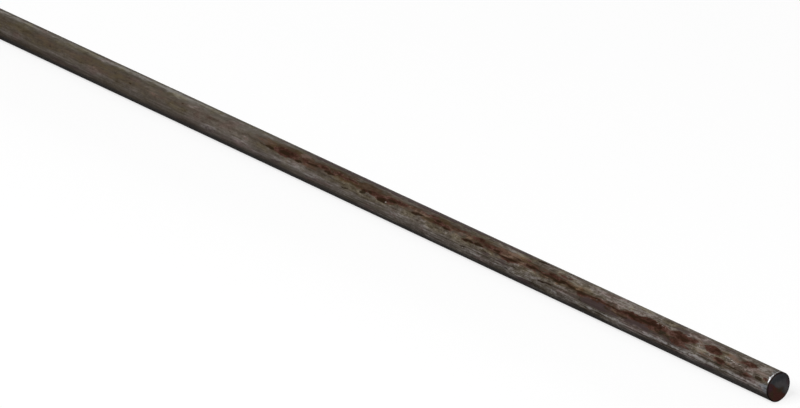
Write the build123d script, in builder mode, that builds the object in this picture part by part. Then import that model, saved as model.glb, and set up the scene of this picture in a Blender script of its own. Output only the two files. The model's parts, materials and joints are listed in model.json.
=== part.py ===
"""Round steel bar: half-inch hot-rolled stock in a three-foot length.

The bar is one solid. Its axis lies along X and its origin is the middle of that axis, so it
rests on a level floor with +Z up. Units are millimetres.
"""

import os

from build123d import *

INCH = 25.4  # this stock is rolled and cut to inch sizes

# Driving dimensions
bar_diameter = 1 / 2 * INCH
bar_length = 36 * INCH
end_bevel = 1 / 64 * INCH  # takes the burr off each sawn end, at 45 degrees

with BuildPart() as round_bar:
    with BuildSketch(Plane.YZ) as section:
        Circle(bar_diameter / 2)
    extrude(amount=bar_length / 2, both=True)
    sawn_rims = round_bar.edges().filter_by(GeomType.CIRCLE)
    chamfer(sawn_rims, length=end_bevel)

round_bar.part.label = "round_bar"

os.makedirs("parts", exist_ok=True)
export_step(round_bar.part, "parts/round_bar.step")
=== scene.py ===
"""A half-inch round bar of hot-rolled mild steel, scaly and rust-patched, on a pale studio floor.

Lengths are in metres unless a name says otherwise. The bar lies along X with its axis through the
origin. A place on its skin is given by its distance from the front end, which is the +X one, and
by its clock angle in degrees: 0 is the top, 90 the side towards the camera and 180 underneath.
"""

import json
import math

import bpy
import numpy as np
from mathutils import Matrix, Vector


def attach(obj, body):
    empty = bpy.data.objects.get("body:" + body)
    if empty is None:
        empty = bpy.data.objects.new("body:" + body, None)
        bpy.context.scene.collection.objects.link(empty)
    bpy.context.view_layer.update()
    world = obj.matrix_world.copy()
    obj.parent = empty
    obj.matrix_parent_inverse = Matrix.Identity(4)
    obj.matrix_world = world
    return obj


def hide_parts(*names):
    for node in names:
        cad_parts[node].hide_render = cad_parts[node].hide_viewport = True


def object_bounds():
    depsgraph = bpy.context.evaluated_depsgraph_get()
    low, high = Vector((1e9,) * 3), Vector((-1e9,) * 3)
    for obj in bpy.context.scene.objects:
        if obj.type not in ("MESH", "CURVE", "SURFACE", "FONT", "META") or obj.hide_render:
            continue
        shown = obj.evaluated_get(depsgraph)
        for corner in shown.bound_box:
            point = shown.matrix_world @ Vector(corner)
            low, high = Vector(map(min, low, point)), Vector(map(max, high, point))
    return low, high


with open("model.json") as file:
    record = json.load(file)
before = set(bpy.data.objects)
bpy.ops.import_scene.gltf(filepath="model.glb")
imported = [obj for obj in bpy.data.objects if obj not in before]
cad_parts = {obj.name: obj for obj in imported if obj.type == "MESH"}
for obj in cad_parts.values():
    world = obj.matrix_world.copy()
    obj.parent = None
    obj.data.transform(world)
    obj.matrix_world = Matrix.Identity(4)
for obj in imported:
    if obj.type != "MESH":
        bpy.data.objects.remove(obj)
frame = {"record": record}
cad_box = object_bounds()

# --- The bar -----------------------------------------------------------------------------------
# One length of half-inch round, rolled hot from mild steel and sawn square. The rolls left faint
# ribs along it, rust has pitted it, and the burr of each sawn end was ground off by hand.

MM = 0.001  # in metres

shank = next(mount for mount in frame["record"]["mounts"] if mount["name"] == "shank")
bar_radius = shank["dims"]["r_mm"] * MM
front_x = cad_box[1][0]
bar_length = front_x - cad_box[0][0]
bevel_width = (bar_length - shank["dims"]["length_mm"] * MM) / 2

# The mesh is a grid: rings across the bar, each with so many points round it.
segments = 120
shank_rings = 755
face_rings = 20
bevel_rings = 4
edge_gap = 0.06 * MM  # two rings this close keep the edge beside the bevel crisp

clock = np.linspace(-180, 180, segments + 1)[None, :]  # the seam is underneath
angle = np.radians(clock)


def ripple(seed, length_mm, width_deg, distance, waves=48):
    """A sum of cosine waves that run along the bar and round it, divided so that its spread is 1.
    length_mm and width_deg are the usual size of a ripple. Every wave goes a whole number of times
    round, so the sum meets itself underneath."""
    random = np.random.default_rng(seed)
    total = np.zeros(np.broadcast_shapes(distance.shape, angle.shape))
    for _ in range(waves):
        times_round = round(random.normal(0, 180 / width_deg))
        per_metre = random.normal(0, 0.5 / (length_mm * MM))
        phase = random.uniform(0, 2 * math.pi)
        total += np.cos(2 * math.pi * per_metre * distance + times_round * angle + phase)
    return total / math.sqrt(waves / 2)


def steps(count):
    """Even shares of a stretch, as a column, from just after its start up to its end."""
    return (np.arange(1, count + 1) / count)[:, None]


# The profile runs out from the middle of the front face, over its bevel, along the bar, and back
# in to the middle of the other face. The hand-ground bevel is wider here and narrower there.
bevel_unevenness = 0.1
bevel_ripple = ripple(3, 900, 50, np.zeros((1, 1)), waves=7)
bevel = bevel_width * (1 + bevel_unevenness * bevel_ripple)
rim = bar_radius - bevel
face_radius = np.concatenate([np.zeros((1, 1)), steps(face_rings)]) * rim
bevel_radius = rim + steps(bevel_rings) * bevel
bevel_distance = steps(bevel_rings) * bevel
shank_start = bevel + edge_gap
# The rings lie closest near the rusty front end, and close again at the other end: the first fifth
# of them covers a tenth of the length, and so on.
share_of_rings = (0, 0.2, 0.6, 0.965, 1)
share_of_length = (0, 0.1, 0.36, 0.98, 1)
shank_share = np.interp(steps(shank_rings)[:-1], share_of_rings, share_of_length)
shank_distance = shank_start + shank_share * (bar_length - 2 * shank_start)
half_distance = np.concatenate([0 * face_radius, bevel_distance, shank_start])
half_radius = np.concatenate([face_radius, bevel_radius, 0 * shank_start + bar_radius])
distance = np.concatenate([half_distance, shank_distance, bar_length - half_distance[::-1]])
radius = np.concatenate([half_radius, 0 * shank_distance + bar_radius, half_radius[::-1]])
end_rings = face_rings + bevel_rings
on_skin = np.zeros((len(distance), 1))
on_skin[end_rings + 1:-end_rings - 1] = 1
on_face = np.zeros((len(distance), 1))
on_face[:face_rings + 1] = 1
on_face[-face_rings - 1:] = 1
on_bevel = 1 - on_skin - on_face

# How far the outlines of the marks stray, along the bar and round it. A mark is full out to one
# share of the way to its edge, and gone at another, which is past its edge.
stray_mm = 1.2 * ripple(21, 6, 14, distance) + 0.6 * ripple(22, 2.2, 6, distance)
stray_deg = 3.0 * ripple(23, 7, 16, distance) + 1.6 * ripple(24, 2.4, 7, distance)
most_stray_mm = 8
mark_full = 0.4
mark_gone = 1.5


def mark(reach, strength):
    """The cover of one mark: its strength out to mark_full, then down a smooth curve (three times
    the square of the share left, less twice its cube) to nothing at mark_gone. reach is the
    distance from its middle, as a share of the way to its edge."""
    fade = np.clip((mark_gone - reach) / (mark_gone - mark_full), 0, 1)
    return strength * fade * fade * (3 - 2 * fade)


def spots(places, stray=1.0):
    """How strongly some spots cover each point of the skin. A spot is an ellipse given by its
    distance in mm, clock angle, length in mm, width in degrees and strength. Where spots meet the
    strongest counts. The skin is taken as stretched a little here and there, by as much as stray
    says, so no outline is smooth."""
    cover = np.zeros(stray_mm.shape)
    for spot_mm, spot_deg, length_mm, width_deg, strength in places:
        rows = np.abs(distance.mean(1) / MM - spot_mm) < length_mm + most_stray_mm
        along_it = distance[rows] / MM + stray * stray_mm[rows] - spot_mm
        round_it = (clock + stray * stray_deg[rows] - spot_deg + 180) % 360 - 180
        reach = np.hypot(along_it / length_mm, round_it / width_deg) * 2
        cover[rows] = np.maximum(cover[rows], mark(reach, strength))
    return cover * on_skin


# Rust took hold in a band above the side, from the front end to about a third of the length. Each
# list holds one kind of mark, in the order of its distance from the front end.
rust_spots = [
    (3.2, 55, 3.6, 11, 0.5), (14, 23, 10, 22, 0.8), (14, 66, 6, 14, 0.45), (29.3, 59, 6, 20, 0.8),
    (34.6, 32, 10, 27, 0.85), (47, 40, 6, 11, 0.8), (52.8, 37, 14, 30, 1.0), (54, 64, 12, 22, 0.6),
    (65, 42, 9, 26, 0.85), (70, 40, 11, 32, 1.0), (79, 44, 14, 22, 1.0), (88, 47, 14, 11, 0.75),
    (101, 48, 18, 14, 0.85), (112, 52, 9, 12, 0.7), (122, 41, 7, 9, 0.8), (124.5, 17, 9, 16, 0.45),
    (124.8, 46, 4, 9, 0.9), (129, 37, 10, 14, 0.8), (135, 38, 8, 10, 0.7), (138.5, 41, 7, 8, 0.9),
    (143, 40, 9, 13, 0.9), (146, 20, 6, 10, 0.4), (151, 36, 5, 7, 0.7), (154.5, 47, 8, 11, 0.95),
    (156, 53, 10, 15, 0.85), (159.5, 49, 7, 8, 0.7), (165, 36, 8, 14, 1.0), (170, 38, 7, 12, 0.8),
    (173.5, 31, 7, 8, 0.6), (175.5, 48, 4, 9, 0.9), (177, 27, 9, 14, 0.8), (181.5, 51, 8, 9, 0.8),
    (187, 26, 12, 8, 0.7), (197, 43, 6, 10, 0.8), (200, 38, 7, 12, 0.95), (203.5, 31, 7, 8, 0.7),
    (208, 21, 9, 13, 0.6), (216, 44, 5, 9, 0.6), (229, 30, 11, 16, 0.9), (232, 37, 6, 12, 1.0),
    (233, 27, 8, 18, 0.6), (237, 46, 9, 18, 1.0), (242, 38, 8, 12, 0.8), (246, 43, 9, 14, 0.7),
    (251, 47, 6, 9, 0.5), (259, 30, 12, 11, 0.8), (266, 28, 8, 14, 0.7), (272, 38, 7, 9, 0.6),
    (276, 31, 8, 12, 0.7), (283, 37, 9, 10, 0.9), (288, 33, 7, 12, 0.7), (296, 38, 8, 24, 0.9),
    (300.5, 40, 12, 30, 1.0), (305.5, 42, 6, 18, 0.6),
]
# The pits and the blackest crumbs, which eat into the skin.
char_spots = [
    (7, 60, 4.5, 15, 0.9), (14, 68, 5, 9, 0.5), (21.5, 63, 6, 8, 0.6), (29, 60, 5, 9, 0.5),
    (38, 72, 5, 7, 0.55), (44, 71, 4, 6, 0.5), (51, 44, 10, 12, 0.5), (57, 56, 9, 8, 0.5),
    (72, 46, 14, 11, 0.6), (82, 45, 12, 8, 0.6), (94, 47, 10, 8, 0.7), (104, 47, 11, 8, 0.65),
    (112, 48, 10, 10, 0.6), (118.5, 44, 6.2, 10, 0.9), (123.4, 40, 4.5, 10, 1), (124.8, 47, 3.2, 8, 1),
    (127.7, 48.5, 3, 11, 1), (130.4, 72, 5, 10, 0.6), (132, 44, 7.5, 8, 0.8),
    (134.7, 73, 6.2, 10, 0.6), (138.5, 42, 7.5, 8, 0.8), (140.9, -7, 4.3, 16, 1.1),
    (141.5, 96, 7.5, 14, 0.6), (143, 40, 7.5, 10, 0.8), (151, 37, 3.8, 8, 0.7),
    (154.2, 49, 7.5, 10, 1), (157, 87, 3.8, 10, 0.6), (158.5, 50, 7.5, 8, 0.8), (165, 38, 5, 10, 0.9),
    (171.5, 60, 3.8, 11, 0.5), (175.6, 48.5, 3.4, 18, 1.0), (181.5, 51.5, 8, 9, 0.9),
    (184, 81, 5, 8, 0.7), (196.5, 46, 5, 8, 0.8), (202, 31, 5, 8, 0.7), (213.9, 41.5, 3.4, 9, 1.0),
    (216.3, 46, 3.6, 11, 1.0), (219, 27, 5, 6, 0.4), (231.5, 37, 6.2, 10, 0.9),
    (236.5, 52, 6.2, 16, 1.0), (245.2, 40, 2.4, 12, 0.9), (248.9, 50, 3.8, 23, 1.0),
    (259.6, 68, 3.8, 8, 0.6), (263, 55, 10, 6, 0.6), (271.8, 41, 5.8, 10, 0.9),
    (282.5, 38, 7.5, 10, 0.9), (291, 49, 4.8, 11, 1.0), (300.5, 42, 7, 18, 0.6), (310.2, 46, 5, 10, 1),
    (313.5, 46.5, 7.5, 6, 0.8), (370, 38, 5, 11, 0.5), (404, 52, 6, 9, 0.5),
]
# A thin purple-brown bloom, beside the rust and on the top.
bloom_spots = [
    (14, 68, 9, 20, 0.3), (31, 2, 20, 16, 0.4), (33.5, 103, 8, 20, 0.8), (38, 22, 12, 18, 0.3),
    (39, 101, 8, 14, 0.5), (49.5, 25, 5, 10, 0.6), (53.5, 12, 9, 20, 0.6), (56, 66, 16, 26, 0.6),
    (60, -14, 10, 16, 0.9), (76, 66, 18, 30, 0.9), (92, 70, 10, 22, 0.5), (103, 66, 20, 28, 0.9),
    (114, 70, 9, 22, 0.4), (130, 72, 8, 10, 0.5), (136, 72, 7, 9, 0.5), (146, 104, 11, 24, 0.7),
    (159, 72, 9, 18, 0.4), (170, 66, 7, 18, 0.4), (205, 78, 9, 12, 0.3), (222, -10, 150, 17, 1.6),
    (300, 92, 60, 16, 0.25), (345, 86, 40, 18, 0.3), (455, 88, 60, 18, 0.3),
]
# Where the scale wore thin and pale.
pale_spots = [
    (6, 24, 11, 42, 1.2), (9.5, 80, 12, 18, 1.0), (13, 44, 8, 12, 1.0), (22, 42, 13, 16, 0.95),
    (24, 74, 9, 16, 1.5), (24.8, 32, 7, 52, 1.0), (30, 74, 60, 18, 0.3), (40, 53, 7, 14, 0.8),
    (42, 30, 7, 18, 0.8), (43, 33, 5, 16, 0.9), (47, 74, 9, 9, 0.6), (47, 86, 10, 12, 0.9),
    (60, 17, 6, 18, 1.6), (68, 16, 12, 16, 0.7), (74, 19, 96, 30, 0.85), (74.5, 28, 5, 12, 0.9),
    (90, 26, 28, 20, 0.8), (102, 29, 28, 15, 1.2), (105, 3, 60, 20, 0.9), (108, 30, 22, 18, 0.6),
    (110, 98, 26, 11, 1.0), (120, 66, 12, 10, 0.4), (130, 60, 18, 11, 0.8), (130, 98, 14, 9, 0.9),
    (134, 2, 5, 14, 1.1), (142, 65, 12, 24, 0.8), (154, 26, 16, 12, 0.7), (155, 90, 12, 20, 0.9),
    (156, 17, 13, 44, 1.5), (165, 102, 24, 14, 1.3), (166, 78, 22, 14, 0.5), (172, 60, 18, 11, 0.6),
    (185, 62, 14, 12, 0.5), (192, 42, 12, 9, 0.6), (206, 76, 24, 16, 0.4), (209, 108, 24, 14, 1.3),
    (210, 90, 120, 24, 0.5), (212, 33, 8, 8, 0.5), (216, 32, 16, 15, 1.6), (221, 35, 14, 8, 0.8),
    (222, 34, 13, 7, 0.7), (240, 110, 30, 12, 0.9), (243, 46, 9, 12, 1.3), (243, 66, 26, 18, 0.6),
    (266, 48, 18, 10, 1.0), (288, 68, 22, 14, 0.5), (300, 82, 170, 34, 0.75), (312, 2, 40, 20, 0.95),
    (312, 24, 12, 28, 0.9), (325, 14, 60, 24, 0.6), (335, 78, 70, 26, 0.95), (342, 66, 70, 34, 0.5),
    (345, 22, 40, 30, 0.5), (350, 80, 14, 26, 1.6), (357, 13, 8, 9, 1.0), (364.5, 32, 6, 8, 1.1),
    (368, 14, 24, 14, 0.5), (374, 17, 10, 15, 1.2), (389.5, 47, 6, 9, 1.0), (394, 32, 5, 6, 1.1),
    (430, 2, 240, 24, 1.6), (455, 74, 100, 26, 0.7), (470, 14, 80, 24, 0.7), (478, 79, 60, 24, 0.9),
    (490, 2, 60, 22, 2.0),
]
# The brown stain round the rust.
stain_spots = [
    (30, 28, 36, 24, 0.5), (30, 62, 30, 26, 0.5), (82, 55, 70, 30, 0.8), (125, 40, 40, 32, 0.8),
    (160, 34, 60, 36, 0.9), (205, 30, 60, 34, 0.9), (250, 29, 70, 34, 0.95), (293, 31, 50, 46, 0.9),
]
# Yellow-brown patches of older rust.
ochre_spots = [
    (5, 36, 10, 26, 0.65), (42.5, 30, 6, 12, 0.5), (60, 50, 8, 16, 0.5), (86, 40, 12, 12, 0.4),
    (160, 58, 12, 12, 0.7), (204, 56, 9, 8, 0.5), (226, 44, 26, 10, 0.5), (247, 42, 14, 16, 0.6),
    (260, 46, 18, 10, 0.5), (316, 42, 14, 12, 0.5), (370, 38, 8, 16, 0.5), (375, 52, 8, 12, 0.7),
    (385, 30, 24, 16, 0.3), (430, 30, 26, 20, 0.5), (430, 48, 120, 36, 0.5), (478, 52, 14, 10, 0.4),
]
# Thin pinkish rust on worn scale.
blush_spots = [
    (24, 20, 5, 14, 0.5), (63, 30, 5, 10, 0.8), (66.5, 38, 4, 10, 0.8), (98, 20, 12, 10, 0.4),
    (113, 78, 6, 12, 0.6), (147.5, 18, 8, 18, 0.7), (170, 24, 6, 10, 0.5), (186, 40, 8, 8, 0.5),
    (209.5, 22, 8, 16, 0.8), (256, 20, 10, 10, 0.5), (289.5, 15, 7, 26, 0.9), (326, 61, 4, 8, 0.6),
    (388, 52, 14, 10, 0.4), (436, 62, 20, 12, 0.4),
]
# Small bright chips, where the scale flaked off not long ago. The three along the side from 172 to
# 197.5 mm are painted glints on the highlight line.
chip_and_glint_spots = [
    (16.8, 45, 1.6, 5, 0.8), (22.5, 42, 1.6, 5, 1.0), (35, 53, 1.2, 4, 0.6), (51.5, 54, 1.4, 3, 0.7),
    (64.5, 32, 1.8, 5, 0.5), (66.5, 34, 1.2, 4, 0.45), (103.5, 56, 1.0, 4, 0.6),
    (108, 56, 1.2, 4, 0.6), (151, 40, 1.6, 4, 0.5), (162, 36, 1.4, 4, 0.6), (172, 91, 2.6, 3.5, 0.6),
    (182.5, 89, 3, 3, 0.55), (197.5, 91, 1.4, 3, 0.55), (234.2, 46, 1.4, 6, 1.0),
]

# Out of that band, and round the back, spots lie thinner and smaller, wherever the damp sat. A
# stretch is given by its count of spots, its two ends in mm and its two clock angles.
random = np.random.default_rng(41)
kinds = (rust_spots, rust_spots, bloom_spots, pale_spots, char_spots)
stretches = ((46, 4, 330, 160, 330), (30, 510, 905, 0, 360))
for count, first_mm, last_mm, first_deg, last_deg in stretches:
    for _ in range(count):
        spot_mm = random.uniform(first_mm, last_mm)
        spot_deg = random.uniform(first_deg, last_deg)
        length_mm = random.lognormal(1.9, 0.5)
        width_deg = random.lognormal(2.6, 0.4)
        strength = random.uniform(0.4, 0.9)
        kind = kinds[random.integers(len(kinds))]
        kind.append((spot_mm, spot_deg, length_mm, width_deg, strength))

rust = spots(rust_spots, 0.7)
char = spots(char_spots, 0.4)
bloom = spots(bloom_spots)
pale = spots(pale_spots)
stain = spots(stain_spots)
blush = spots(blush_spots)
ochre = spots(ochre_spots)
chip_and_glint = spots(chip_and_glint_spots)

# A line along the side is a painted highlight, laid as steel rubbed bare and smooth where the bar was
# dragged. Its strength falls off from its middle line as a bell curve. It drifts down a little, has
# gaps and dies away past 200 mm.
rub_highlight_clock = 84
rub_highlight_drift = 0.04  # degrees for each mm
rub_highlight_width_deg = 4.7
rub_highlight_end_mm = 215
rub_highlight_fade_mm = 130
rub_highlight_gaps = [
    (80.5, 87, 11, 60, 0.95), (88, 87, 6, 60, 0.5), (99.5, 87, 7, 60, 0.5),
    (109.5, 87, 6, 60, 0.5), (119.5, 88, 6, 60, 0.8), (134, 88, 6, 60, 0.6),
]
rub_highlight_middle = rub_highlight_clock + rub_highlight_drift * distance / MM
rub_highlight_fade = np.clip((rub_highlight_end_mm - distance / MM) / rub_highlight_fade_mm, 0, 1)
rub_highlight = np.exp(-(((clock + 0.6 * stray_deg - rub_highlight_middle) / rub_highlight_width_deg) ** 2)) * rub_highlight_fade
rub_highlight_pressure = np.clip(0.85 + 0.3 * ripple(31, 3.5, 60, distance), 0, 1)
rub_highlight = rub_highlight * rub_highlight_pressure * (on_skin - spots(rub_highlight_gaps, 0.5))

# The burr of each end was ground off with a few strokes, which left bare steel on one side only.
front_strokes = [(1.05, 38, 0.72, 44, 1.0), (1.05, 10, 0.75, 56, 0.37), (2.6, 88, 5, 12, 0.14)]
back_strokes = [(913.5, 300, 1.3, 60, 1.0), (913.7, 340, 1.0, 60, 0.5)]
ground = spots(front_strokes, 0.1)
ground = ground + spots(back_strokes, 0.1)

# The heat of the grinding left the scale beside it a little blue.
blued = spots([(1.6, 82, 5, 40, 1.0), (1.2, 5, 4, 80, 0.7)], 0.3)

# Nothing stands prouder than the bar's true radius: ribs, rust and pits all go inwards from it.
mean_depth_mm = 0.034
least_depth_mm = 0.018
swell_mm = 0.02
char_depth_mm = 0.07
worn_depth_mm = 0.01
nick_depth_mm = 0.22
ribs_mm = 0.012 * ripple(11, 70, 12, distance) + 0.006 * ripple(12, 9, 7, distance)
swelling_mm = swell_mm * rust * (1 + 0.5 * ripple(13, 2.5, 5, distance))
pits_mm = char_depth_mm * char + worn_depth_mm * pale
nick_mm = nick_depth_mm * spots([(140, -7, 6, 10, 1)])
skin_depth_mm = np.maximum(mean_depth_mm + ribs_mm - swelling_mm + pits_mm + nick_mm, least_depth_mm)
end_depth = least_depth_mm * MM * radius / bar_radius
radius = radius - np.where(on_skin, skin_depth_mm * MM, end_depth)

# The saw's teeth left shallow arcs across the faces: one cosine wave a pitch, bent as a parabola.
saw_pitch = 0.9 * MM
saw_bow = 60 * MM
saw_wave_mm = 0.012
saw_rough_mm = 0.01
saw_margin = 0.3 * MM  # the arcs die away this close to the rim
across = radius * np.sin(angle)
above = radius * np.cos(angle)
saw_phase = 2 * math.pi * (above + across**2 / (2 * saw_bow)) / saw_pitch
saw_rough = np.abs(ripple(14, 900, 30, distance))
saw_depth_mm = saw_wave_mm * (1 + np.cos(saw_phase)) + saw_rough_mm * saw_rough
sunk = np.where(distance < bar_length / 2, 1, -1) * saw_depth_mm * MM * on_face
distance = distance + sunk * np.clip((rim - radius) / saw_margin, 0, 1)

# The damp settled on the lower half of each face, and a dark crust grew round its rim.


def blots(places):
    """How strongly some blots cover each point of the faces. A blot is an ellipse given by how far
    it lies towards +Y and above the axis, its width and its height, all in mm, and strength."""
    cover = np.zeros(radius.shape)
    for across_mm, up_mm, width_mm, height_mm, strength in places:
        aside_mm = -across / MM - across_mm
        below_mm = up_mm - above / MM
        reach = 2 * np.hypot(aside_mm / width_mm, below_mm / height_mm)
        cover = np.maximum(cover, mark(reach, strength))
    return cover * on_face


# The rust line slants across the face, and is blurred over this much height.
damp_slant = 0.85
damp_drop = 0.8 * MM
damp_blur = 1.7 * MM
face_rust = np.clip(0.5 + (across * damp_slant - above - damp_drop) / damp_blur, 0, 1) * on_face
rust = rust + face_rust
bloom_blots = [(-5.3, 0.9, 3.4, 4.0, 0.9), (4.8, 1.5, 2.0, 6.0, 0.4)]
ochre_blots = [(-4.8, -2.4, 4.0, 4.4, 0.6), (0.4, -1.2, 4.6, 2.6, 0.6), (2.8, -2.6, 3.4, 3.0, 0.35)]
pale_blots = [(0.8, 1.0, 8.5, 4.4, 0.7), (4.2, -1.6, 3.0, 5.0, 0.9)]
bloom = bloom + blots(bloom_blots)
ochre = ochre + blots(ochre_blots)
pale = pale + blots(pale_blots)

# The crust is thicker on one side of the rim. The bevel is darkened near-black all round, and the
# darkening just laps over the edge onto the skin.
crust_width = 0.7 * MM
darkening_lap_mm = 0.9
darkening_blur_mm = 0.35
bevel_darkness = 0.9
rim_lean = 0.6 + 0.4 * np.cos(angle + math.radians(125))
rim_crust = np.clip(1 - (rim - radius) / crust_width, 0, 1) * rim_lean
edge_darkening = np.clip((darkening_lap_mm - distance / MM) / darkening_blur_mm, 0, 1) * on_skin
near_rim = radius > 0.7 * bar_radius
char = char + np.where(near_rim, rim_crust, 0) * on_face + bevel_darkness * on_bevel
char = np.maximum(char, bevel_darkness * edge_darkening)

# Each point sits at its radius and clock angle round the axis, and its distance behind the front.
# The cells between two rings and two columns of points become the faces.
points = np.stack([front_x - distance, -radius * np.sin(angle), radius * np.cos(angle)], -1)
rings = len(points)
ring, column = np.meshgrid(np.arange(rings - 1), np.arange(segments), indexing="ij")
ring = ring.ravel()
column = column.ravel()
corner_ring = np.stack([ring, ring + 1, ring + 1, ring], -1)
corner_column = np.stack([column, column, column + 1, column + 1], -1)

# Each pole is one vertex: the first and last rings have no size, so their corners share it.
number = np.arange(rings * segments).reshape(rings, segments)
number[0] = number[0, 0]
number[-1] = number[-1, 0]
used, corner_vertex = np.unique(number[corner_ring, corner_column % segments], return_inverse=True)
corner_vertex = corner_vertex.reshape(-1, 4)
front_fan = ring == 0
back_fan = ring == rings - 2


def by_face(corners):
    """Splits values held for the four corners of each cell into those of the real faces: the cells
    next to a pole are triangles and the others squares."""
    return (corners[front_fan][:, [0, 1, 2]], corners[~front_fan & ~back_fan],
            corners[back_fan][:, [0, 1, 3]])


bar_mesh = bpy.data.meshes.new("round_bar_skin")
bar_piece = bpy.data.objects.new("round_bar_skin", bar_mesh)
bpy.context.scene.collection.objects.link(bar_piece)
faces = sum((part.tolist() for part in by_face(corner_vertex)), [])
bar_mesh.from_pydata(points[:, :-1].reshape(-1, 3)[used].tolist(), [], faces)
bar_mesh.shade_smooth()

# The marks are stored on the mesh, for its finish to read.
fields = {"rust": rust, "char": char, "bloom": bloom, "pale": pale, "stain": stain,
          "blush": blush, "ochre": ochre, "chip_and_glint": chip_and_glint, "rub_highlight": rub_highlight, "ground": ground,
          "blued": blued, "face": on_face, "bevel": on_bevel}
for name, values in fields.items():
    full = np.broadcast_to(values, (rings, segments + 1))[:, :-1].reshape(-1)[used]
    field = bar_mesh.attributes.new(name, "FLOAT", "POINT")
    field.data.foreach_set("value", full.astype(np.float32))

# The flat pattern for the finish: the skin is slit underneath and cut across into five strips,
# which lie side by side, with the two end discs in a column beside them. A disc is laid flat by
# keeping each ring's way from the pole, measured over the face and the bevel, and made larger.
strip_count = 5
strip_gap = 0.9 * MM
disc_scale = 1.35
girth = 2 * math.pi * bar_radius
sheet = strip_count * (girth + strip_gap) + strip_gap
ring_distance = distance.mean(1)
strip = np.clip(ring_distance[ring] * strip_count / bar_length, 0, strip_count - 1).astype(int)
starts = [ring_distance[ring[strip == which].min()] for which in range(strip_count)]
corner_angle = angle[0][corner_column]
flat_along = strip_gap + distance[corner_ring, corner_column] - np.array(starts)[strip][:, None]
flat_round = (strip[:, None] + corner_angle / (2 * math.pi) + 0.5) * girth
flat_round = flat_round + (strip[:, None] + 1) * strip_gap
from_pole = np.hypot(np.diff(half_distance.mean(1)), np.diff(half_radius.mean(1))).cumsum()
from_pole = np.concatenate([[0], from_pole]) * disc_scale
disc_radius = from_pole[end_rings]
front_disc = ring < end_rings
back_disc = ring >= rings - 1 - end_rings
for side, disc, rings_out in ((-1, front_disc, corner_ring), (1, back_disc, rings - 1 - corner_ring)):
    spread = from_pole[rings_out[disc]]
    middle = sheet - strip_gap - disc_radius
    flat_along[disc] = middle + side * spread * np.sin(corner_angle[disc])
    flat_round[disc] = strip_gap + disc_radius * (2 + side) + spread * np.cos(corner_angle[disc])
flat = np.stack([flat_along, flat_round], -1) / sheet
flat = np.concatenate([part.reshape(-1, 2) for part in by_face(flat)])
bar_mesh.uv_layers.new(name="OFBake").data.foreach_set("uv", flat.ravel().astype(np.float32))

# Its finish is grey-brown mill scale, streaked along the bar by the rolls and pale where it wore
# thin, with red-brown rust, darker pits and a purple bloom. Bare steel shows where it was ground.

skin = bpy.data.materials.new("mill_scale_and_rust")
skin.use_nodes = True
tree = skin.node_tree
tree.nodes.clear()


def node(kind, sockets=None, **settings):
    """Adds a node to the tree in hand, sets its properties and fills or joins its sockets."""
    made = tree.nodes.new("ShaderNode" + kind)
    for name, value in settings.items():
        setattr(made, name, value)
    for name, value in (sockets or {}).items():
        if isinstance(value, bpy.types.NodeSocket):
            tree.links.new(value, made.inputs[name])
        else:
            made.inputs[name].default_value = value
    return made


def add(*values):
    """The sum of two or more values."""
    total = values[0]
    for value in values[1:]:
        total = node("Math", {0: total, 1: value}, operation="ADD").outputs[0]
    return total


def times(first, second):
    """The product of two values."""
    return node("Math", {0: first, 1: second}, operation="MULTIPLY").outputs[0]


def fade_between(value, low, high, at_low=0.0, at_high=1.0):
    """Goes smoothly from at_low to at_high as value goes from low to high."""
    return node("MapRange", {"Value": value, "From Min": low, "From Max": high, "To Min": at_low,
                             "To Max": at_high}, interpolation_type="SMOOTHSTEP").outputs[0]


def blend(share, at_none, at_full):
    """Goes from one number to another as share goes from 0 to 1."""
    return node("Mix", {0: share, 2: at_none, 3: at_full}, data_type="FLOAT").outputs[0]


def tint(share, under, over):
    """Lays one colour over another where share is 1."""
    return node("Mix", {0: share, 6: under, 7: over}, data_type="RGBA").outputs[2]


def palette(tone, *stops):
    """Turns a tone into a colour by way of stops, each a tone and the colour that belongs to it.
    Between two stops the colour changes evenly."""
    ramp = node("ValToRGB", {0: tone})
    elements = ramp.color_ramp.elements
    while len(elements) < len(stops):
        elements.new(0.5)
    for element, (position, _) in zip(elements, stops):
        element.position = position
    for element, (_, shade) in zip(elements, stops):
        element.color = (*shade, 1)
    return ramp.outputs[0]


def grain(size_mm, stretch, detail, roughness, shift):
    """Noise from about -1 to 1 in lumps of size_mm, drawn out along the bar by stretch. It is read
    shift millimetres to one side, so that no two noises are alike."""
    place = node("Mapping", {"Vector": coordinates, "Location": (shift, shift, shift),
                             "Scale": (1 / stretch / MM, 1 / MM, 1 / MM)}).outputs[0]
    noise = node("TexNoise", {"Vector": place, "Scale": 1 / size_mm, "Detail": detail,
                              "Roughness": roughness}).outputs[0]
    return node("MapRange", {"Value": noise, "From Min": 0.25, "From Max": 0.75, "To Min": -1.0,
                             "To Max": 1.0}, clamp=False).outputs[0]


def stored(name):
    """Reads one of the fields of marks from the mesh."""
    return node("Attribute", attribute_name=name).outputs["Fac"]


coordinates = node("TexCoord").outputs["Object"]
along = node("SeparateXYZ", {0: coordinates}).outputs[0]
height = node("SeparateXYZ", {0: coordinates}).outputs[2]
beyond = node("SeparateXYZ", {0: coordinates}).outputs[1]

# Noise, from the broadest to the finest, then one that only shifts the hue.
cloud = grain(7, 3, 3, 0.5, 3)
mottle = grain(1.9, 2.8, 6, 0.62, 7)
flake = grain(0.85, 1.9, 5, 0.66, 13)
streak = grain(0.6, 24, 4, 0.6, 19)
grit = grain(0.22, 1.4, 3, 0.6, 31)
hue = grain(4.5, 3, 4, 0.55, 97)


def broken(name, low, high, coarse=0.5, crumb=0.35):
    """A stored field whose edge is broken up, so that it reads as a crust, not a blot: the field
    plus shares of three noises, kept off bare places, and then taken from low to high."""
    field = stored(name)
    rough = add(field, times(mottle, coarse), times(flake, crumb), times(grit, crumb * 0.5))
    return fade_between(times(rough, fade_between(field, 0.02, 0.2)), low, high)


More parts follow.
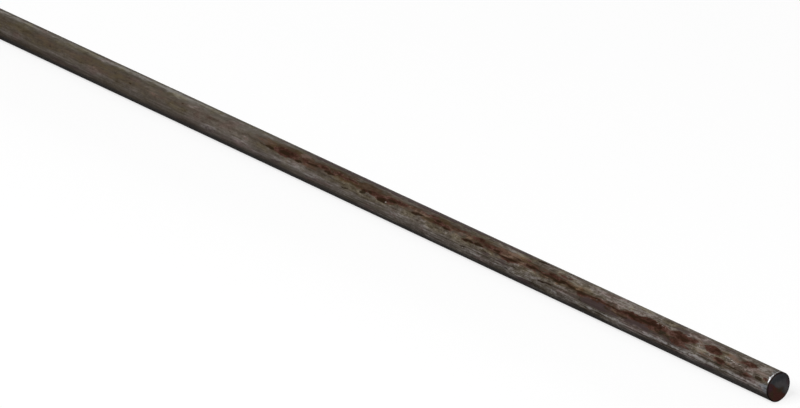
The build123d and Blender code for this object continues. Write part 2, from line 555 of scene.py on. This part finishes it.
def stained(share, under, stain):
    """A colour multiplied by a stain's colour where share is 1, and left alone where it is 0."""
    return node("Mix", {0: share, 6: under, 7: stain}, data_type="RGBA",
                blend_type="MULTIPLY").outputs[2]


# Shares that say where on the bar a point is. X is 457 mm at the front end.
near = fade_between(along, 100 * MM, 400 * MM)
far = fade_between(along, 70 * MM, -20 * MM)
upper_side = fade_between(height, 5.0 * MM, 6.2 * MM)
lower_side = fade_between(height, 3.5 * MM, 1.2 * MM)

# Scale: the more it wore, the paler it is. It wore the most unevenly towards the two ends.
scale_tones = ((0.0, (0.030, 0.023, 0.015)), (0.25, (0.060, 0.046, 0.033)),
               (0.5, (0.093, 0.076, 0.060)), (0.75, (0.140, 0.117, 0.098)),
               (1.0, (0.250, 0.222, 0.200)))
worn = add(near, fade_between(along, -80 * MM, -300 * MM, 0.0, 0.6))
swing = times(blend(worn, 0.22, 0.60), fade_between(height, 5.8 * MM, 4.0 * MM, 0.75, 1.0))
crumbs = add(mottle, times(flake, 0.75), times(grit, 0.45))
unevenness = add(times(cloud, 0.55), times(crumbs, blend(lower_side, 1.0, 0.6)),
                 times(streak, blend(lower_side, 0.6, 1.1)))
tone = add(blend(near, 0.47, 0.56), times(far, -0.12), times(unevenness, swing),
           times(stored("pale"), 0.30))
scale_colour = palette(tone, *scale_tones)

# Its hue wanders: a little bluer low down, and olive or mauve in patches.
low_stain = (0.965, 0.98, 1.02, 1)
top_stain = (0.95, 1.0, 1.01, 1)
olive_stain = (1.02, 1.0, 0.85, 1)
mauve_stain = (1.06, 0.95, 0.97, 1)
scale_colour = stained(lower_side, scale_colour, low_stain)
scale_colour = stained(times(upper_side, fade_between(near, 1, 0)), scale_colour, top_stain)
olive = times(fade_between(hue, 0.0, 0.5), blend(lower_side, 1.0, 0.45))
scale_colour = stained(olive, scale_colour, olive_stain)
scale_colour = stained(fade_between(hue, -0.1, -0.6), scale_colour, mauve_stain)

# Thin coats lie over it, the ones further down this list on top of the ones before.
ochre_coat = (0.085, 0.060, 0.030, 1)
brown_stain = (0.66, 0.50, 0.40, 1)
blush_coat = (0.175, 0.118, 0.100, 1)
bloom_coat = (0.060, 0.041, 0.040, 1)
blued_stain = (0.74, 0.86, 0.98, 1)
scale_colour = tint(times(broken("ochre", 0.2, 0.9), 0.6), scale_colour, ochre_coat)
scale_colour = stained(broken("stain", 0.1, 0.75), scale_colour, brown_stain)
scale_colour = tint(times(broken("blush", 0.2, 0.8), 0.6), scale_colour, blush_coat)
scale_colour = tint(times(broken("bloom", 0.1, 0.7), 0.85), scale_colour, bloom_coat)
scale_colour = stained(broken("blued", 0.1, 1.0), scale_colour, blued_stain)

# Underneath, from just below the axis, the scale is painted darker, as painted shade under the bar.
# The border of the painted shade wanders, and lies lower or higher from one stretch of the bar to the
# next.
underside_shade_colour = (0.049, 0.046, 0.046, 1)
shade_border = add(height, times(mottle, 0.5 * MM), times(cloud, 0.3 * MM),
             fade_between(along, 350 * MM, 440 * MM, 0.6 * MM, -0.4 * MM),
             fade_between(along, 150 * MM, 200 * MM, 0.0, 0.4 * MM))
painted_underside_shade = fade_between(shade_border, -0.1 * MM, -2.1 * MM)
scale_colour = tint(times(painted_underside_shade, 0.75), scale_colour, underside_shade_colour)

# Rust is darkest where it is thickest, and the pits in it are nearly black.
rust_tones = ((0.0, (0.027, 0.012, 0.007)), (0.4, (0.055, 0.025, 0.017)),
              (0.75, (0.086, 0.041, 0.031)), (1.0, (0.120, 0.070, 0.055)))
char_colour = (0.022, 0.013, 0.006, 1)
rust_cover = broken("rust", 0.22, 0.42, 0.36, 0.36)
rust_tone = add(0.80, times(stored("rust"), -0.55), times(mottle, 0.55), times(flake, 0.5),
                times(grit, 0.3))
colour = tint(rust_cover, scale_colour, palette(rust_tone, *rust_tones))
char_cover = broken("char", 0.34, 0.6, 0.3, 0.3)
colour = tint(times(char_cover, 0.85), colour, char_colour)

# Bare steel: the chips, the rubbed line, and the strokes that took the burr off. The rubbed line's
# lighter colour is a painted highlight, and three of the chips are painted glints.
chip_and_glint_colour = (0.34, 0.30, 0.27, 1)
rub_highlight_colour = (0.37, 0.35, 0.345, 1)
ground_colour = (0.86, 0.88, 0.92, 1)
# Chips, and painted glints along the highlight line.
chip_and_glint_cover = broken("chip_and_glint", 0.35, 0.6, 0.2, 0.3)
colour = tint(chip_and_glint_cover, colour, chip_and_glint_colour)
# The rubbed line is lightened here as a painted highlight, and made metal and smoother below.
rub_highlight_cover = broken("rub_highlight", 0.0, 1.1, 0.25, 0.25)
colour = tint(times(rub_highlight_cover, 0.65), colour, rub_highlight_colour)
ground_cover = broken("ground", 0.05, 1.0, 0.08, 0.12)
colour = tint(ground_cover, colour, ground_colour)

# The sawn faces are dark, and rusty towards one side. They are laid over the rest, bevel and all.
sawn_tones = ((0.0, (0.035, 0.036, 0.039)), (1.0, (0.064, 0.065, 0.070)))
sawn_pale = (0.086, 0.080, 0.081, 1)
sawn_rust = (0.069, 0.027, 0.021, 1)
sawn_bloom = (0.058, 0.028, 0.034, 1)
sawn_ochre = (0.048, 0.035, 0.021, 1)
sawn_char = (0.016, 0.009, 0.009, 1)
face_cover = add(stored("face"), stored("bevel"))
sawn = palette(add(0.5, times(cloud, 0.4), times(flake, 0.5)), *sawn_tones)
sawn = tint(broken("pale", 0.0, 1.0, 0.3, 0.2), sawn, sawn_pale)
sawn = tint(broken("rust", 0.2, 0.95, 0.3, 0.2), sawn, sawn_rust)
sawn = tint(broken("bloom", 0.0, 1.0, 0.3, 0.2), sawn, sawn_bloom)
sawn = tint(broken("ochre", 0.0, 1.0, 0.3, 0.2), sawn, sawn_ochre)
sawn = tint(broken("char", 0.1, 0.9, 0.3, 0.2), sawn, sawn_char)
colour = tint(face_cover, colour, sawn)

# Rust and pits are dull, scale is a little smoother, and bare steel is the smoothest.
dull = node("Math", {0: rust_cover, 1: char_cover}, operation="MAXIMUM").outputs[0]
roughness = add(0.5, times(mottle, 0.08))
roughness = blend(dull, roughness, 0.9)
roughness = blend(rub_highlight_cover, roughness, 0.38)
roughness = blend(ground_cover, roughness, 0.3)
roughness = blend(face_cover, roughness, 0.7)
metal = add(ground_cover, times(rub_highlight_cover, 0.5), times(chip_and_glint_cover, 0.3))
metal = node("Math", {0: metal, 1: 0.0}, operation="ADD", use_clamp=True).outputs[0]

# The finest relief: roll streaks, flakes, the grit of the rust and, between the saw's deep arcs,
# finer ones along the same bow.
fine_pitch = 0.3 * MM
relief_depth = 0.05 * MM
bow = times(times(beyond, beyond), 0.5 / saw_bow)
saw_turn = times(add(height, bow, times(cloud, 0.3 * MM)), 2 * math.pi / fine_pitch)
saw_line = node("Math", {0: saw_turn}, operation="SINE").outputs[0]
saw_share = times(stored("face"), fade_between(mottle, -0.6, 0.4, 0.0, 0.35))
relief = add(times(streak, 0.35), times(flake, 0.4), times(times(grit, dull), 0.9),
             times(saw_line, saw_share))
bump = node("Bump", {"Height": relief, "Distance": relief_depth, "Strength": 1.0}).outputs[0]

scale_shine = 0.003  # a flaky oxide, which mirrors hardly anything
surface = node("BsdfPrincipled", {"Base Color": colour, "Roughness": roughness, "Metallic": metal,
                                  "Normal": bump, "Specular IOR Level": scale_shine})
node("OutputMaterial", {"Surface": surface.outputs[0]})
bar_mesh.materials.append(skin)

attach(bar_piece, "root")
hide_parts("round_bar")

# --- The floor ---------------------------------------------------------------------------------
# A pale matt studio floor, painted and level, as wide as any view needs. The bar's lowest line
# rests on it. It isn't a part of the bar.

floor_reach = 12
floor_mesh = bpy.data.meshes.new("floor")
corners = [(-floor_reach, -floor_reach), (floor_reach, -floor_reach), (floor_reach, floor_reach),
           (-floor_reach, floor_reach)]
floor_mesh.from_pydata([(x, y, -bar_radius) for x, y in corners], [], [(0, 1, 2, 3)])
floor = bpy.data.objects.new("floor", floor_mesh)
bpy.context.scene.collection.objects.link(floor)
floor_paint = bpy.data.materials.new("floor_paint")
floor_paint.use_nodes = True
tree = floor_paint.node_tree
tree.nodes.clear()


def seen_share():
    """1 for what is seen straight, mirrored or through glass, and 0 for light that only spreads."""
    ray = node("LightPath").outputs
    share = add(ray["Is Camera Ray"], ray["Is Glossy Ray"], ray["Is Transmission Ray"])
    return node("Math", {0: share, 1: 0.0}, operation="ADD", use_clamp=True).outputs[0]


# As seen, the floor is nearly white. For the light that it throws back at the bar, it is dark.
floor_grey_unseen = 0.08
floor_grey_seen = 0.28
floor_glow_seen = 0.76
seen = seen_share()
matt = node("BsdfDiffuse", {"Color": blend(seen, floor_grey_unseen, floor_grey_seen)})
glow = node("Emission", {"Strength": times(seen, floor_glow_seen)})
both = node("AddShader", {0: matt.outputs[0], 1: glow.outputs[0]})
node("OutputMaterial", {"Surface": both.outputs[0]})
floor_mesh.materials.append(floor_paint)

# --- Light -------------------------------------------------------------------------------------
# Large softboxes of white cloth, one high in front and one low behind, a smaller one past the
# front end, and a dim room whose walls are seen as white.

room_light = 0.14
room_white = 1.0
world = bpy.data.worlds.new("studio")
bpy.context.scene.world = world
world.use_nodes = True
tree = world.node_tree
tree.nodes.clear()
room_strength = blend(seen_share(), room_light, room_white)
room = node("Background", {"Color": (1, 1, 1, 1), "Strength": room_strength})
node("OutputWorld", {"Surface": room.outputs[0]})


def softbox(name, place, aim, wide, tall, watts):
    """A rectangular lamp that faces the point it is aimed at."""
    lamp = bpy.data.lights.new(name, "AREA")
    lamp.shape = "RECTANGLE"
    lamp.size = wide
    lamp.size_y = tall
    lamp.energy = watts
    holder = bpy.data.objects.new(name, lamp)
    holder.location = place
    holder.rotation_euler = (Vector(aim) - Vector(place)).to_track_quat("-Z", "Y").to_euler()
    bpy.context.scene.collection.objects.link(holder)


softbox("key", (0.25, -2.05, 2.35), (0.1, 0, 0), 3.0, 1.6, 84)
softbox("back", (-1.26, 3.74, 0.63), (0.1, 0, 0), 4.1, 1.0, 78)
softbox("side", (3.76, -0.51, 1.1), (0.45, 0, 0), 1.7, 1.2, 47)

# --- Camera ------------------------------------------------------------------------------------
# A long lens, well round towards the bar's front end and a little above it. The far end runs out
# of view. The camera's place is given from the middle of the front face, as so far to the right,
# up and forward, each as the camera sees it.

azimuth = math.radians(48.98)
elevation = math.radians(23.91)
lens_mm = 314.2
sensor_mm = 36
to_right = -0.15128
to_top = 0.07317
to_front = -2.78555
level = Vector((-math.sin(azimuth), math.cos(azimuth), 0))
right = Vector((math.cos(azimuth), math.sin(azimuth), 0))
forward = level * math.cos(elevation) - Vector((0, 0, math.sin(elevation)))
up = right.cross(forward)
lens = bpy.data.cameras.new("camera")
lens.sensor_width = sensor_mm
lens.lens = lens_mm
lens.clip_end = 100
camera = bpy.data.objects.new("camera", lens)
bpy.context.scene.collection.objects.link(camera)
camera.location = Vector((front_x, 0, 0)) + to_right * right + to_top * up + to_front * forward
camera.rotation_euler = (math.pi / 2 - elevation, 0, azimuth)
bpy.context.scene.camera = camera

bpy.context.scene.view_settings.view_transform = "Standard"
